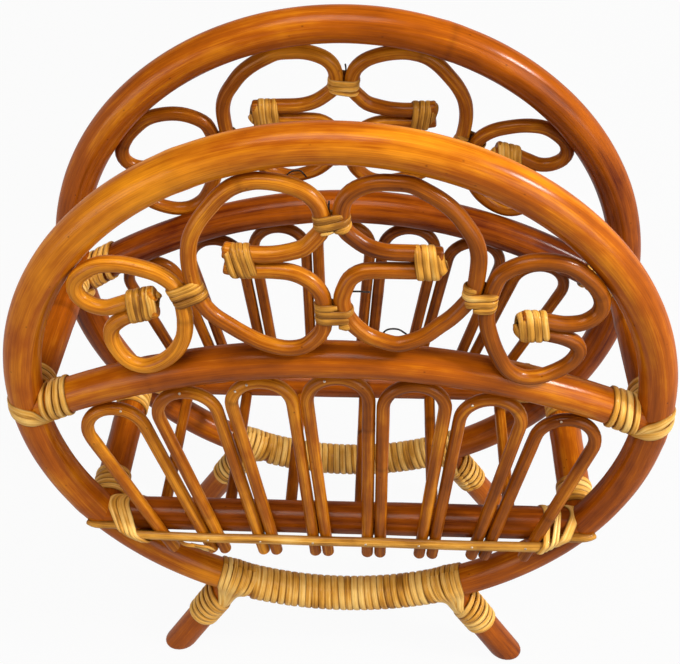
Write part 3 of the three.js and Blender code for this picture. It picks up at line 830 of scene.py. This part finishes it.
def ties(place, name, seed):
    """Split cane round pairs of canes where the scrolls touch, and round the scrolls' own ends"""

    def tie(label, nodes, pairs):
        skin = Skin()
        for pair in pairs:
            wrap_pair(skin, place, *pair)
        skin.make(f"{name}_{label}", "split_cane", [f"{name}_{node}" for node in nodes])

    up = np.array([0, -0.14, 1.0])
    low = np.array([0, 0, -5.0])
    first, second = on_scroll(-4.9, 155.5), on_scroll(4.9, 156.5)
    # the upper tie has a second, narrower strip below it
    tie("upper_tie_wrap", ["upper_tie"], (
        (first, second, up, 2.1, 4.1, 4.6, (0.5, 0.3), seed + 9, 0.3, 0.36),
        (first + low, second + low, up, 1.0, 0.6, 2.8, (0.6, 0), seed + 90, 0.3, 0.45),
    ))
    tie("lower_tie_wrap", ["lower_tie"], (
        (on_scroll(-5.0, 97.5), on_scroll(6.4, 98.0), up, 3.0, 4.2, 4.7, (-0.8, 0.3), seed + 9, 0.3, 0.36),
    ))
    side_ties = (
        ("left", -1, (-77.9, 110.5), (-87.9, 106.0), 2.6),
        ("right", 1, (77.6, 109.0), (87.5, 108.0), 0.8),
    )
    for label, side, big, small, slant in side_ties:
        tie(f"side_tie_wrap_{label}", [f"side_tie_{label}"], (
            (on_scroll(*big), on_scroll(*small), up, 3.0, 4.3, 4.7, (slant * 0.3, 0.4), seed + 7 * side,
             0.2, 0.36),
        ))
    # each bundle's name and node, then the two canes' places, its run, and how it is wound
    bundles = (
        ("bundle_wrap_left", ["bundle_left"], (-52, 135.5), (-52, 125.5), (-1, 0, 0.06),
         (4.1, 3.9, 4.5, 1.8, 1.1, 0.32)),
        ("bundle_wrap_right", ["bundle_right"], (53.5, 136), (53.5, 126), (1, 0, -0.02),
         (4.2, 4.2, 4.6, -0.6, 1.5, 0.34)),
        ("small_bundle_wrap_left", [], (-110.8, 103), (-108.3, 93.6), (1, 0, 0.26),
         (4.5, 4.0, 4.5, 2.8, 1.3, 0.36)),
        ("small_bundle_wrap_right", [], (112.5, 92.2), (112.5, 83), (-1, 0, 0.0),
         (4.3, 4.2, 4.6, 0.8, 1.5, 0.45)),
    )
    for label, nodes, top, low, along, (turns, pitch, width, slant, closed, tone) in bundles:
        tie(label, nodes, (
            (on_scroll(*low), on_scroll(*top), along, turns, pitch, width, (slant, 0), seed + len(label),
             0.1, tone, BUNDLE_THICK, closed),
        ))


def away_at(angle):
    """The direction from the hoop's centre to its point at an angle from straight down"""
    return np.array([math.sin(angle), 0, -math.cos(angle)])


def surface(carriers, blend=1.4):
    """Signed distance to several round poles, blended in the creases"""

    def distance(p):
        return -blend * np.log(sum(np.exp(-np.clip(c(p), -30, 60) / blend) for c in carriers))

    return distance


def hoop_carrier(p):
    return np.hypot(np.hypot(p[:, 0], p[:, 2]) - HOOP, p[:, 1]) - POLE


def bar_carrier(a, b, radius):
    a, b = np.asarray(a, float), np.asarray(b, float)

    def distance(p):
        share = np.clip(((p - a) @ (b - a)) / ((b - a) @ (b - a)), 0, 1)
        return np.linalg.norm(p - a - share[:, None] * (b - a), axis=1) - radius

    return distance


def slope(p, distance):
    """The direction in which the distance to a surface grows fastest"""
    g = np.zeros_like(p)
    for k in range(3):
        ahead, behind = p.copy(), p.copy()
        ahead[:, k] += 0.2
        behind[:, k] -= 0.2
        g[:, k] = distance(ahead) - distance(behind)
    return unit(g)


def draped(skin, place, points, distance, lift, width, thick, tone, seed, step=1.6):
    """A strip through rough points, laid onto a surface"""
    line = smooth(points, step)
    for _ in range(8):
        line = line - slope(line, distance) * (distance(line) - lift)[:, None] * 0.9
    for _ in range(3):
        line[1:-1] = (line[:-2] + 2 * line[1:-1] + line[2:]) / 4
    lay(skin, place, line, slope(line, distance), width, thick, tone, seed)


# The route of a collar's crossing strips, from inside the hoop down the leg: how far past the hoop's
# line, the share of the strip's place across that it keeps, a shift across, and how far out
COLLAR_ROUTE = (
    (-11.8, 1.0, 0.0, -2.5), (-8.7, 1.0, 0.0, 8.2), (0.0, 0.9, 0.0, 12.0), (8.0, 0.66, 0.4, 10.5),
    (15.0, 0.42, 1.0, 10.4), (22.0, 0.3, 1.0, 9.8), (28.0, 0.22, -0.5, 9.6),
)


def leg(place, name, side, label, seed):
    angle = side * LEG_ANGLE
    away, out = away_at(angle), np.array([0, 1.0, 0])
    at = away * HOOP
    length = (CENTRE - HOOP * math.cos(LEG_ANGLE)) / math.cos(LEG_LEAN)
    foot = at + np.array([side * math.sin(LEG_LEAN), 0, -math.cos(LEG_LEAN)]) * length + out * LEG_SPLAY
    run = unit(foot - at)
    skin = Skin()
    line = place(straight(at + run * (POLE - 1), foot - run * (LEG_EDGE / abs(run[2])), 2.0))
    # the left leg is painted paler than the right one, as painted light
    tone = 0.5 if side < 0 else 0.42
    pole(skin, line, LEG, 26, tone, (), seed, to_hoop(PLANE[name]), to_floor(LEG_EDGE), uneven=0.012,
         edge=LEG_EDGE)
    skin.make(f"{name}_leg_pole_{label}", "varnished_pole", [f"{name}_leg_{label}"])

    # The collar: strips that cross from the hoop onto the leg, then turns round the leg over their ends
    skin = Skin()
    draw = np.random.default_rng(seed)
    legs = bar_carrier(at, foot, LEG)
    joint = surface([hoop_carrier, legs])
    middle = -side * np.array([math.cos(angle), 0, math.sin(angle)])
    across = unit(np.cross(run, (0, 1.0, 0)))
    depth = np.cross(run, across)
    for face in (1, -1):
        for k, start in enumerate(np.linspace(-10.5, 12.5, 7)):
            start = start + draw.uniform(-0.4, 0.4)
            points = []
            for down, share, shift, high in COLLAR_ROUTE:
                spot = away * down + middle * (share * start + shift) + out * (high * face)
                points.append(at + spot)
            tone = 0.6 + draw.uniform(-0.16, 0.2)
            draped(skin, place, points, joint, 0.35 + 0.1 * (k % 2), 4.1, 1.15, tone, seed + 20 + k)
    # turns round the leg: how far down it each lies, and its tilt
    collar = ((24.0, 7.0), (29.5, 5.0), (34.5, 3.0), (39.5, 1.2), (44.5, 0.2), (49.3, -0.8))
    for k, (down, tilt) in enumerate(collar):
        turn = np.linspace(math.pi / 2, math.pi / 2 + TAU * 1.03, 40)
        rise = down - tilt * side * np.cos(turn)
        ring = at + run * rise[:, None] + rims(across[None], depth[None], turn)[0] * (LEG + 1.6)
        tone = 0.58 + draw.uniform(-0.2, 0.2)
        draped(skin, place, ring[::3], legs, 0.9 - 0.05 * k, 5.0, 1.25, tone, seed + k)
    skin.make(f"{name}_leg_collar_{label}", "split_cane")


def arch_lashing(place, name, side, label, seed):
    """Turns round the arched bar's end, and two strips that cross on the hoop below it"""
    skin = Skin()
    line = arch_line(1.0)
    if side > 0:
        line = line[::-1]
    s = lengths(line)
    draw = np.random.default_rng(seed)
    # turns round the bar: how far along it each lies, its lean upwards and outwards, and its width
    rings = ((3.0, 5.6, 1.2, 4.4), (8.2, 6.4, 2.4, 5.0), (13.4, 6.2, 3.2, 5.0), (19.0, 5.0, 2.6, 4.2))
    for k, (at, rise, forward, width) in enumerate(rings):
        i = int(np.argmin(np.abs(s - at)))
        run = unit(line[i + 1] - line[i - 1])
        u = unit(np.cross(run, (0, 1.0, 0)))
        v = np.cross(run, u)
        turn = np.linspace(0.3, 0.3 + TAU * 1.04, 60)
        out = rims(u[None], v[None], turn)[0]
        lean = rise * out[:, 2:] + forward * out[:, 1:2] + 0.4 * np.sin(turn * 2 + k)[:, None]
        ring = line[i] + out * (POLE + 0.25 + 0.1 * (k % 2)) + run * lean
        tone = 0.55 + draw.uniform(-0.2, 0.22)
        lay(skin, place, ring, out, width, RING_THICK, tone, seed + k)
    contact = math.pi / 2 + math.asin(ARCH_END / HOOP)
    joint = surface([hoop_carrier, bar_carrier(line[0], line[14], POLE)])
    # each band's route over the hoop: the turn round its tube and the drop below the bar
    front_of_hoop = {
        -1: ((0.7, -2), (1.25, -2), (1.6, -0.5), (2.2, 2.5)),
        1: ((0.7, -6), (1.25, -4.5), (1.6, -1.5), (2.2, 2.6)),
    }[side]
    upper = [(-2.9, 14), (-2.2, 10), (-1.4, 3), (-0.4, -2.5), *front_of_hoop, (2.75, 8.5), (3.2, 13)]
    lower = [(-2.9, 18), (-2, 14), (-1, 6), (0, 2), (0.7, 2.5), (1.1, 4), (1.6, 6), (2.1, 8), (2.6, 10.5),
             (3.2, 15)]
    bands = ((8.2, 0.72, 0.1, upper), (8.2, 0.6, 0.5, lower))
    for k, (width, tone, lift, points) in enumerate(bands):
        rough = []
        for turn, drop in points:
            away = away_at(side * (contact - drop / HOOP))
            outwards = np.array([0, (POLE + 1) * math.sin(turn), 0])
            rough.append(away * (HOOP + (POLE + 1) * math.cos(turn)) + outwards)
        draped(skin, place, rough, joint, lift, width, LASHING_THICK, tone, seed + 31 + k)
    skin.make(f"{name}_arch_lashing_{label}", "split_cane")


def corner_lashing(place, name, side, label, seed):
    """Strips that hold the lower rail, the outer strip and the hoop together"""
    skin = Skin()
    draw = np.random.default_rng(seed)
    # each turn's place across, its width, its tone and its lean
    if side < 0:
        turns = [(137.6 + 3.0 * k, 3.5, 0.6, 12.5) for k in range(5)]
    else:
        turns = [(140.5, 5.0, 0.62, 4.0), (145.4, 2.9, 0.85, 6.0), (148.4, 2.6, 0.8, 4.6),
                 (152.6, 7.0, 0.6, 11.0)]
    for k, (x, width, tone, lean) in enumerate(turns):
        x = side * x
        inner = strip_out(x)
        face = inner + STRIP_THICK
        high = strip_high(x) / 2 + 0.1
        shapes = [
            disc(0, 0, POLE + 0.2),
            np.array([(face, high), (face, -high), (inner, high), (inner, -high)]),
        ]
        origin = place((x, 0, RAIL_UP))[0]
        axes = (turned(place, (0, 1, 0)), turned(place, (0, 0, 1)), turned(place, (side, 0, 0)))
        slant = (0.6 * draw.uniform(-1, 1), lean)
        bind(skin, origin, axes, taut(shapes), 1.04, 0.5, width, BUNDLE_THICK, seed + k, slant, 0.35,
             WRAP_LIFT * (k % 2), tone=tone + draw.uniform(-0.08, 0.08))
    if name == "front" and side < 0:
        # where the outer strip has begun to split, two strands hang from its lower edge
        long_strand = [(-112, 22.5, -110.6), (-106, 24.6, -111.4), (-101, 24.4, -112.4),
                       (-97, 23.4, -115), (-94, 22.4, -118.6), (-92, 21.4, -122.6)]
        short_strand = [(-103, 24, -111.6), (-97, 24.6, -112.6), (-92, 23.6, -114.6), (-89, 22.4, -118),
                        (-87.4, 21.6, -121.6)]
        strands = ((3.2, long_strand), (2.6, short_strand))
        for k, (width, points) in enumerate(strands):
            hang = smooth(points, 1.4)
            outs = hang * 0 + np.array(turned(place, (0, 1, 0.35)))
            # each strand is painted dark at its root under the strip's edge and paler towards its end, as
            # painted shade
            strip(skin, place(hang), outs, width, 0.9, np.linspace(0.1, 0.75, len(hang)), seed + 50 + k)
    skin.make(f"{name}_corner_lashing_{label}", "split_cane")


def rod(skin, line, radius):
    """A thin round wire along a line"""
    _, n, b = frames(line, (0.2, 0.5, 0.9))
    sides = 8
    grid = (line[:, None, :] + rims(n, b, even_angles(sides)) * radius).reshape(-1, 3)
    skin.add(grid, capped_faces(len(line), sides), grid * 0, 0.5, 0.0)


def nails(place, name):
    skin = Skin()
    for i, shift in ((1, -1), (2, -3), (2, -6), (3, -3), (5, -4), (6, -2), (0, 2)):
        line = loop_line(i - 3)
        at = line[int(np.argmax(line[:, 2])) + shift]
        out = unit(np.array([0.1 * shift, 4.0, 2.4]))
        nail(skin, place(at + out * (LOOP - 0.1))[0], turned(place, out), NAIL_RADIUS)
    for i in range(7):
        foot = (i - 3) * FOOT_PITCH + FOOT_SHIFT
        x = foot + FOOT_WIDTH / 2 - 1.0
        face = strip_out(x) + STRIP_THICK
        nail(skin, place((x, face - 0.2, RAIL_UP + 0.6))[0], turned(place, (0, 1, 0)), NAIL_RADIUS)
    skin.make(f"{name}_nails", "varnished_pole", material=NAIL)
    # pins whose points stand out of the canes
    skin = Skin()
    pins = (
        [(-1.5, 8.0, 160), (-1.5, 8.2, 166.5), (-1.2, 7.6, 169)],
        [(9, 15, 113), (15, 15.3, 113.4), (21, 15.5, 113.2)],
        [(27, 14, 79), (31, 14, 84), (37, 13.5, 84), (42, 13, 80)],
    )
    for points in pins:
        rod(skin, place(smooth(points, 1.0)), WIRE_RADIUS)
    skin.make(f"{name}_pins", "varnished_pole", material=WIRE)


def panel(place, name, seed):
    ring_of(place, name, seed)
    base_winding(place, name, seed + 1)
    bars(place, name, seed + 2)
    loops(place, name, seed + 4)
    flat_strip(place, name, seed + 5)
    scrolls(place, name, seed + 20)
    ties(place, name, seed + 40)
    for label, side in SIDES:
        leg(place, name, side, label, seed + 60 + side * 3)
        arch_lashing(place, name, side, label, seed + 80 + side * 3)
        corner_lashing(place, name, side, label, seed + 100 + side * 3)
    nails(place, name)


# Pieces between the panels


def cross_pole(x, height, node, name, seed):
    skin = Skin()
    reach = HALF - POLE
    line = straight((x, -reach, height), (x, reach, height), 3.0)
    pole(skin, line, POLE, 28, 0.45, (74,), seed, to_hoop(-HALF), to_hoop(HALF), hint=(1, 0, 0))
    skin.make(name, "varnished_pole", [node])


def end_lashings(x, height, name, seed, turns, spread):
    """Strips round both ends of a cross pole, fanned at the hoop"""
    first, pitch, width = 2.6, 4.6, 4.7
    reach = POLE + WRAP_LIFT
    skin = Skin()
    draw = np.random.default_rng(seed)
    for end in (-1, 1):
        for k in range(turns):
            turn = np.linspace(-1.9, -1.9 + TAU * 1.03, 54)
            out = np.stack([np.cos(turn), 0 * turn, np.sin(turn)], 1)
            fan = spread * np.cos(turn) * (1 - k * 0.15) * math.copysign(1, x)
            y = end * (HALF - POLE - first - pitch * k + fan)
            ring = np.stack([x + reach * out[:, 0], y, height + reach * out[:, 2]], 1)
            strip(skin, ring, out, width, WRAP_THICK, 0.62 + draw.uniform(-0.2, 0.2), seed + k + 7 * end)
    skin.make(name, "split_cane")


def between():
    for label, side in SIDES:
        x, z = side * RAIL_SPAN, CENTRE + RAIL_UP
        cross_pole(x, z, f"side_rail_{label}", f"side_pole_{label}", 300 + side)
        end_lashings(x, z, f"side_rail_lashing_{label}", 310 + side, 5, 1.6)
        x, z = side * CONNECTOR_AT, CENTRE + CONNECTOR_UP
        cross_pole(x, z, f"upper_connector_{label}", f"connector_pole_{label}", 320 + side)
        end_lashings(x, z, f"connector_lashing_{label}", 330 + side, 3, -1.2)
    reach = HALF - POLE - SEAT
    span = RAIL_SPAN - POLE
    for i, share in enumerate((-0.81, -0.51, -0.23, 0.09, 0.42, 0.77)):
        skin = Skin()
        x, z = share * span, CENTRE + SLAT_UP
        line = straight((x, -reach, z), (x, reach, z), 3.0)
        pole(skin, line, SLAT, 16, 0.4, (30 + 14 * i,), 400 + i, hint=(1, 0, 0), uneven=0.02)
        skin.make(f"slat_{i + 1}", "thin_cane", [f"floor_slat_{i + 1}"])


panel(placer(1), "front", 11)
panel(placer(-1), "back", 211)
between()


# Camera, light and floor, in metres

WORLD_LIGHT = 0.12
FLOOR_GLOW = 0.95
FLOOR_HALF = 4.0
LIGHTS_AIM = (0, 0, 0.25)
CAMERA_PLACE = (0.0297, -0.5406, 0.7594)
CAMERA_YAW_PITCH_ROLL = (-3.26, 41.99, -1.094)
FOCAL_PIXELS = 1067
PHOTO_WIDTH = 680
SENSOR_WIDTH = 36.0
DIM_FROM = 0.12
DIM_TO = 0.4


def stand(item, at, right, up, forward):
    """Puts a camera or a lamp in the scene, looking forward"""
    axes = Matrix([list(axis) for axis in zip(right, up, -forward)])
    item.matrix_world = Matrix.Translation(at) @ axes.to_4x4()
    bpy.context.scene.collection.objects.link(item)


def camera():
    yaw, pitch, roll = (math.radians(a) for a in CAMERA_YAW_PITCH_ROLL)
    level = math.cos(pitch)
    forward = np.array([math.sin(yaw) * level, math.cos(yaw) * level, -math.sin(pitch)])
    right = np.array([math.cos(yaw), -math.sin(yaw), 0.0])
    up = np.cross(right, forward)
    c, s = math.cos(roll), math.sin(roll)
    right, up = c * right + s * up, -s * right + c * up
    data = bpy.data.cameras.new("camera")
    data.sensor_fit = "HORIZONTAL"
    data.sensor_width = SENSOR_WIDTH
    data.lens = FOCAL_PIXELS / PHOTO_WIDTH * SENSOR_WIDTH
    data.clip_start = 0.01
    item = bpy.data.objects.new("camera", data)
    stand(item, CAMERA_PLACE, right, up, forward)
    bpy.context.scene.camera = item


def area_light(name, at, size, power, colour):
    data = bpy.data.lights.new(name, "AREA")
    data.shape = "RECTANGLE"
    data.size, data.size_y = size
    data.energy = power
    data.color = colour
    item = bpy.data.objects.new(name, data)
    forward = unit(np.subtract(LIGHTS_AIM, at))
    right = unit(np.cross(forward, (0.02, 0.01, 1)))
    stand(item, at, right, np.cross(right, forward), forward)
    return item


def seen_directly(shading):
    """1 for what the camera sees, straight or in gloss or glass, and 0 for what only lights the rack"""
    path = shading.node("ShaderNodeLightPath")
    total = path.outputs["Is Camera Ray"]
    for label in ("Is Glossy Ray", "Is Transmission Ray"):
        total = shading.maths("MAXIMUM", total, path.outputs[label])
    return total


def studio():
    area_light("window", (1.42, -0.3, 1.47), (0.34, 0.3), 34, (1.0, 0.98, 0.95))
    area_light("softbox", (1.34, -1.21, 0.84), (1.0, 1.0), 12, (1.0, 0.98, 0.95))
    area_light("overhead", (-0.2, -0.7, 2.1), (1.1, 0.9), 21, (1.0, 0.95, 0.86))
    area_light("fill", (-1.5, -1.3, 0.7), (0.9, 0.9), 9, (1.0, 0.94, 0.84))
    # a lamp behind the rack for views from there, without reflections in the front view
    rear = area_light("rear", (0.3, 1.9, 0.9), (1.4, 1.4), 16, (1.0, 0.96, 0.9))
    rear.visible_glossy = False
    world = bpy.data.worlds.new("studio")
    bpy.context.scene.world = world
    shading = Shading(world)
    background = shading.nodes["Background"]
    background.inputs["Color"].default_value = (1, 1, 1, 1)
    # white at the horizon and below it, dim towards the ceiling
    place = shading.node("ShaderNodeTexCoord")
    axes = shading.node("ShaderNodeSeparateXYZ", {0: place.outputs["Generated"]})
    ends = {"From Min": DIM_FROM, "From Max": DIM_TO, "To Min": 1 - WORLD_LIGHT, "To Max": 0}
    fall = shading.node("ShaderNodeMapRange", {"Value": axes.outputs["Z"], **ends})
    inputs = {0: seen_directly(shading), 1: fall.outputs["Result"], 2: WORLD_LIGHT}
    strength = shading.node("ShaderNodeMath", inputs, operation="MULTIPLY_ADD")
    shading.feed(background.inputs["Strength"], strength.outputs[0])


def floor():
    mesh = bpy.data.meshes.new("floor")
    signs = ((-1, -1), (1, -1), (1, 1), (-1, 1))
    corners = [(x * FLOOR_HALF, y * FLOOR_HALF, 0) for x, y in signs]
    mesh.from_pydata(corners, [], [(0, 1, 2, 3)])
    item = bpy.data.objects.new("floor", mesh)
    bpy.context.scene.collection.objects.link(item)
    material, shading, shader = new_material("floor_white")
    shader.inputs["Base Color"].default_value = (0.3, 0.3, 0.3, 1)
    shader.inputs["Roughness"].default_value = 0.9
    glow = shading.node("ShaderNodeEmission", {"Color": (1, 1, 1, 1)})
    share = shading.maths("MULTIPLY", seen_directly(shading), FLOOR_GLOW)
    mixed = shading.node("ShaderNodeMixShader", {0: share, 1: shader.outputs[0], 2: glow.outputs[0]})
    shading.feed(shading.nodes["Material Output"].inputs["Surface"], mixed.outputs[0])
    mesh.materials.append(material)


camera()
studio()
floor()
bpy.context.scene.view_settings.view_transform = "Standard"
